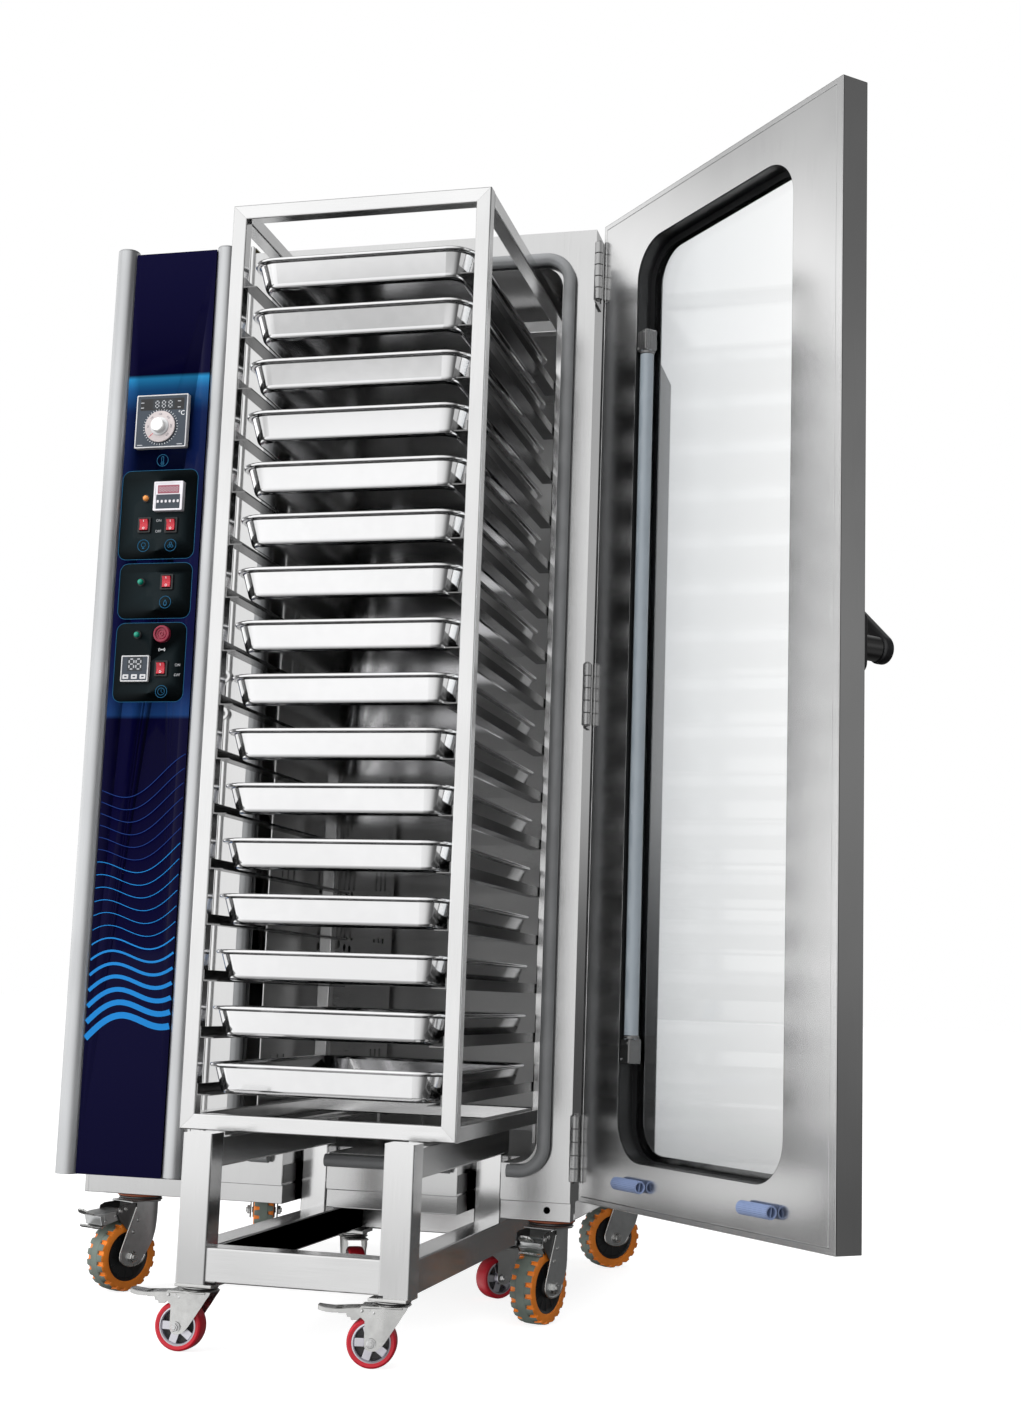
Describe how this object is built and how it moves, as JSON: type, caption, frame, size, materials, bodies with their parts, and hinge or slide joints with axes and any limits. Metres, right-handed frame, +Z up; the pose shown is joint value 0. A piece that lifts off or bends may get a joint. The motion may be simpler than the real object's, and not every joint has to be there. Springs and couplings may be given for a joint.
{
  "type": "convection oven",
  "caption": "Tall convection oven with a side control column, full-height glazed door and a rack of trays half out on a docked wheeled trolley.",
  "frame": {"origin": "centre of the bounding box at floor level, with the door open", "axes": "+X to the right seen from the front, +Y into the oven, +Z up"},
  "size_m": [1.5124, 1.4078, 1.967],
  "materials": {
    "cabinet_steel": "brushed stainless steel",
    "base_steel": "brushed stainless box section",
    "rack_steel": "bright stainless square tube",
    "trolley_steel": "bright stainless box section",
    "tray_steel": "polished",
    "profile_aluminium": "satin anodised",
    "fascia": "dark blue film over a plate",
    "dial_plastic": "pale, slightly clear",
    "rocker_plastic": "red",
    "gasket_silicone": "grey silicone",
    "mineral_wool": "matt",
    "fan_steel": "mill finish",
    "motor_paint": "grey paint",
    "heater_steel": "dark oxide",
    "door_glass": "clear",
    "door_metal": "bright",
    "lever_black": "black",
    "oven_fork": "grey zinc",
    "oven_wheel": "orange polyurethane",
    "trolley_fork": "bright zinc",
    "trolley_wheel": "red polyurethane"
  },
  "bodies": {
    "oven": {"cabinet_shell": "cabinet_steel", "base_frame": "base_steel", "cavity_liner": "cabinet_steel", "insulation": "mineral_wool", "door_gasket": "gasket_silicone", "column_profiles": "profile_aluminium", "control_panel": "fascia", "fan_baffle": "cabinet_steel", "fan_motors": "motor_paint", "heater_elements": "heater_steel", "door_frame_fittings": "cabinet_steel"},
    "door": {"door_shell": "cabinet_steel", "door_glass": "door_glass", "door_fittings": "door_metal"},
    "lever": {"handle_lever": "lever_black"},
    "rack": {"rack_frame": "rack_steel"},
    "trolley": {"trolley_frame": "trolley_steel"},
    "dial": {"temperature_dial": "dial_plastic"},
    "light_switch": {"light_rocker": "rocker_plastic"},
    "fan_switch": {"fan_rocker": "rocker_plastic"},
    "steam_switch": {"steam_rocker": "rocker_plastic"},
    "timer_switch": {"timer_rocker": "rocker_plastic"},
    "lower_fan": {"fan_wheel_lower": "fan_steel"},
    "upper_fan": {"fan_wheel_upper": "fan_steel"},
    "oven_fork_front_left": {"oven_caster_fork_front_left": "oven_fork"},
    "oven_wheel_front_left": {"oven_caster_wheel_front_left": "oven_wheel"},
    "oven_pedal_front_left": {"oven_brake_pedal_front_left": "oven_fork"},
    "oven_fork_front_right": {"oven_caster_fork_front_right": "oven_fork"},
    "oven_wheel_front_right": {"oven_caster_wheel_front_right": "oven_wheel"},
    "oven_pedal_front_right": {"oven_brake_pedal_front_right": "oven_fork"},
    "oven_fork_rear_left": {"oven_caster_fork_rear_left": "oven_fork"},
    "oven_wheel_rear_left": {"oven_caster_wheel_rear_left": "oven_wheel"},
    "oven_fork_rear_right": {"oven_caster_fork_rear_right": "oven_fork"},
    "oven_wheel_rear_right": {"oven_caster_wheel_rear_right": "oven_wheel"},
    "trolley_fork_front_left": {"trolley_caster_fork_front_left": "trolley_fork"},
    "trolley_wheel_front_left": {"trolley_caster_wheel_front_left": "trolley_wheel"},
    "trolley_pedal_front_left": {"trolley_brake_pedal_front_left": "trolley_fork"},
    "trolley_fork_front_right": {"trolley_caster_fork_front_right": "trolley_fork"},
    "trolley_wheel_front_right": {"trolley_caster_wheel_front_right": "trolley_wheel"},
    "trolley_pedal_front_right": {"trolley_brake_pedal_front_right": "trolley_fork"},
    "trolley_fork_rear_left": {"trolley_caster_fork_rear_left": "trolley_fork"},
    "trolley_wheel_rear_left": {"trolley_caster_wheel_rear_left": "trolley_wheel"},
    "trolley_fork_rear_right": {"trolley_caster_fork_rear_right": "trolley_fork"},
    "trolley_wheel_rear_right": {"trolley_caster_wheel_rear_right": "trolley_wheel"},
    "tray_01_body": {"tray_01": "tray_steel"},
    "tray_02_body": {"tray_02": "tray_steel"},
    "tray_03_body": {"tray_03": "tray_steel"},
    "tray_04_body": {"tray_04": "tray_steel"},
    "tray_05_body": {"tray_05": "tray_steel"},
    "tray_06_body": {"tray_06": "tray_steel"},
    "tray_07_body": {"tray_07": "tray_steel"},
    "tray_08_body": {"tray_08": "tray_steel"},
    "tray_09_body": {"tray_09": "tray_steel"},
    "tray_10_body": {"tray_10": "tray_steel"},
    "tray_11_body": {"tray_11": "tray_steel"},
    "tray_12_body": {"tray_12": "tray_steel"},
    "tray_13_body": {"tray_13": "tray_steel"},
    "tray_14_body": {"tray_14": "tray_steel"},
    "tray_15_body": {"tray_15": "tray_steel"},
    "tray_16_body": {"tray_16": "tray_steel"}
  },
  "joints": [
    {"name": "door_swing", "type": "hinge", "parent": "oven", "child": "door", "pos_m": [0.20781, -0.21505, 1.079], "axis": [0, 0, 1], "range_deg": [-133.3, 0]},
    {"name": "rack_slide", "type": "slide", "parent": "oven", "child": "rack", "axis": [0, 1, 0], "range_m": [0, 0.4]},
    {"name": "trolley_roll", "type": "slide", "parent": "oven", "child": "trolley", "axis": [0, -1, 0], "range_m": [0, 2.8]},
    {"name": "handle_turn", "type": "hinge", "parent": "door", "child": "lever", "pos_m": [0.72014, -0.63157, 1.075], "axis": [0.7278, 0.6858, 0], "range_deg": [-45, 45]},
    {"name": "dial_turn", "type": "hinge", "parent": "oven", "child": "dial", "pos_m": [-0.63629, -0.22505, 1.602], "axis": [0, 1, 0], "range_deg": [0, 270]},
    {"name": "light_rock", "type": "hinge", "parent": "oven", "child": "light_switch", "pos_m": [-0.66069, -0.21225, 1.412], "axis": [-1, 0, 0], "range_deg": [0, 18]},
    {"name": "fan_rock", "type": "hinge", "parent": "oven", "child": "fan_switch", "pos_m": [-0.60569, -0.21225, 1.4105], "axis": [-1, 0, 0], "range_deg": [0, 18]},
    {"name": "steam_rock", "type": "hinge", "parent": "oven", "child": "steam_switch", "pos_m": [-0.60699, -0.21225, 1.3003], "axis": [-1, 0, 0], "range_deg": [0, 18]},
    {"name": "timer_rock", "type": "hinge", "parent": "oven", "child": "timer_switch", "pos_m": [-0.60749, -0.21225, 1.1343], "axis": [-1, 0, 0], "range_deg": [0, 18]},
    {"name": "lower_fan_spin", "type": "hinge", "parent": "oven", "child": "lower_fan", "pos_m": [-0.45169, 0.19195, 0.69], "axis": [1, 0, 0], "continuous": true},
    {"name": "upper_fan_spin", "type": "hinge", "parent": "oven", "child": "upper_fan", "pos_m": [-0.45169, 0.19195, 1.47], "axis": [1, 0, 0], "continuous": true},
    {"name": "oven_swivel_front_left", "type": "hinge", "parent": "oven", "child": "oven_fork_front_left", "pos_m": [-0.62069, -0.12805, 0.167], "axis": [0, 0, 1], "continuous": true},
    {"name": "oven_roll_front_left", "type": "hinge", "parent": "oven_fork_front_left", "child": "oven_wheel_front_left", "pos_m": [-0.63675, -0.16027, 0.0625], "axis": [0.8949, -0.4462, 0], "continuous": true},
    {"name": "oven_brake_front_left", "type": "hinge", "parent": "oven_fork_front_left", "child": "oven_pedal_front_left", "pos_m": [-0.643, -0.1728, 0.141], "axis": [0.8949, -0.4462, 0], "range_deg": [0, 10]},
    {"name": "oven_swivel_front_right", "type": "hinge", "parent": "oven", "child": "oven_fork_front_right", "pos_m": [0.15231, -0.12805, 0.167], "axis": [0, 0, 1], "continuous": true},
    {"name": "oven_roll_front_right", "type": "hinge", "parent": "oven_fork_front_right", "child": "oven_wheel_front_right", "pos_m": [0.14119, -0.16229, 0.0625], "axis": [0.9511, -0.309, 0], "continuous": true},
    {"name": "oven_brake_front_right", "type": "hinge", "parent": "oven_fork_front_right", "child": "oven_pedal_front_right", "pos_m": [0.13686, -0.1756, 0.141], "axis": [0.9511, -0.309, 0], "range_deg": [0, 10]},
    {"name": "oven_swivel_rear_left", "type": "hinge", "parent": "oven", "child": "oven_fork_rear_left", "pos_m": [-0.65869, 0.59795, 0.167], "axis": [0, 0, 1], "continuous": true},
    {"name": "oven_roll_rear_left", "type": "hinge", "parent": "oven_fork_rear_left", "child": "oven_wheel_rear_left", "pos_m": [-0.67141, 0.63162, 0.0625], "axis": [-0.9354, -0.3535, 0], "continuous": true},
    {"name": "oven_swivel_rear_right", "type": "hinge", "parent": "oven", "child": "oven_fork_rear_right", "pos_m": [0.14831, 0.59795, 0.167], "axis": [0, 0, 1], "continuous": true},
    {"name": "oven_roll_rear_right", "type": "hinge", "parent": "oven_fork_rear_right", "child": "oven_wheel_rear_right", "pos_m": [0.12156, 0.57386, 0.0625], "axis": [0.6691, -0.7431, 0], "continuous": true},
    {"name": "trolley_swivel_front_left", "type": "hinge", "parent": "trolley", "child": "trolley_fork_front_left", "pos_m": [-0.28169, -0.63105, 0.098], "axis": [0, 0, 1], "continuous": true},
    {"name": "trolley_roll_front_left", "type": "hinge", "parent": "trolley_fork_front_left", "child": "trolley_wheel_front_left", "pos_m": [-0.30968, -0.63154, 0.0375], "axis": [0.0175, -0.9998, 0], "continuous": true},
    {"name": "trolley_brake_front_left", "type": "hinge", "parent": "trolley_fork_front_left", "child": "trolley_pedal_front_left", "pos_m": [-0.31368, -0.63161, 0.0845], "axis": [0.0175, -0.9998, 0], "range_deg": [0, 8]},
    {"name": "trolley_swivel_front_right", "type": "hinge", "parent": "trolley", "child": "trolley_fork_front_right", "pos_m": [0.02631, -0.63105, 0.098], "axis": [0, 0, 1], "continuous": true},
    {"name": "trolley_roll_front_right", "type": "hinge", "parent": "trolley_fork_front_right", "child": "trolley_wheel_front_right", "pos_m": [-0.00108, -0.63687, 0.0375], "axis": [0.2079, -0.9781, 0], "continuous": true},
    {"name": "trolley_brake_front_right", "type": "hinge", "parent": "trolley_fork_front_right", "child": "trolley_pedal_front_right", "pos_m": [-0.00499, -0.6377, 0.0845], "axis": [0.2079, -0.9781, 0], "range_deg": [0, 8]},
    {"name": "trolley_swivel_rear_left", "type": "hinge", "parent": "trolley", "child": "trolley_fork_rear_left", "pos_m": [-0.28169, 0.09295, 0.098], "axis": [0, 0, 1], "continuous": true},
    {"name": "trolley_roll_rear_left", "type": "hinge", "parent": "trolley_fork_rear_left", "child": "trolley_wheel_rear_left", "pos_m": [-0.26769, 0.0687, 0.0375], "axis": [0.866, 0.5, 0], "continuous": true},
    {"name": "trolley_swivel_rear_right", "type": "hinge", "parent": "trolley", "child": "trolley_fork_rear_right", "pos_m": [0.02631, 0.09295, 0.098], "axis": [0, 0, 1], "continuous": true},
    {"name": "trolley_roll_rear_right", "type": "hinge", "parent": "trolley_fork_rear_right", "child": "trolley_wheel_rear_right", "pos_m": [0.00794, 0.07182, 0.0375], "axis": [0.7547, -0.6561, 0], "continuous": true},
    {"name": "tray_01_slide", "type": "slide", "parent": "rack", "child": "tray_01_body", "axis": [0, -1, 0], "range_m": [0, 0.28]},
    {"name": "tray_02_slide", "type": "slide", "parent": "rack", "child": "tray_02_body", "axis": [0, -1, 0], "range_m": [0, 0.28]},
    {"name": "tray_03_slide", "type": "slide", "parent": "rack", "child": "tray_03_body", "axis": [0, -1, 0], "range_m": [0, 0.28]},
    {"name": "tray_04_slide", "type": "slide", "parent": "rack", "child": "tray_04_body", "axis": [0, -1, 0], "range_m": [0, 0.28]},
    {"name": "tray_05_slide", "type": "slide", "parent": "rack", "child": "tray_05_body", "axis": [0, -1, 0], "range_m": [0, 0.28]},
    {"name": "tray_06_slide", "type": "slide", "parent": "rack", "child": "tray_06_body", "axis": [0, -1, 0], "range_m": [0, 0.28]},
    {"name": "tray_07_slide", "type": "slide", "parent": "rack", "child": "tray_07_body", "axis": [0, -1, 0], "range_m": [0, 0.28]},
    {"name": "tray_08_slide", "type": "slide", "parent": "rack", "child": "tray_08_body", "axis": [0, -1, 0], "range_m": [0, 0.28]},
    {"name": "tray_09_slide", "type": "slide", "parent": "rack", "child": "tray_09_body", "axis": [0, -1, 0], "range_m": [0, 0.28]},
    {"name": "tray_10_slide", "type": "slide", "parent": "rack", "child": "tray_10_body", "axis": [0, -1, 0], "range_m": [0, 0.28]},
    {"name": "tray_11_slide", "type": "slide", "parent": "rack", "child": "tray_11_body", "axis": [0, -1, 0], "range_m": [0, 0.28]},
    {"name": "tray_12_slide", "type": "slide", "parent": "rack", "child": "tray_12_body", "axis": [0, -1, 0], "range_m": [0, 0.28]},
    {"name": "tray_13_slide", "type": "slide", "parent": "rack", "child": "tray_13_body", "axis": [0, -1, 0], "range_m": [0, 0.28]},
    {"name": "tray_14_slide", "type": "slide", "parent": "rack", "child": "tray_14_body", "axis": [0, -1, 0], "range_m": [0, 0.28]},
    {"name": "tray_15_slide", "type": "slide", "parent": "rack", "child": "tray_15_body", "axis": [0, -1, 0], "range_m": [0, 0.28]},
    {"name": "tray_16_slide", "type": "slide", "parent": "rack", "child": "tray_16_body", "axis": [0, -1, 0], "range_m": [0, 0.28]}
  ],
  "couplings": [
    {"joint": "rack_slide", "follows": "door_swing", "m_per_rad": -0.1719},
    {"joint": "trolley_roll", "follows": "door_swing", "m_per_rad": -1.2}
  ]
}
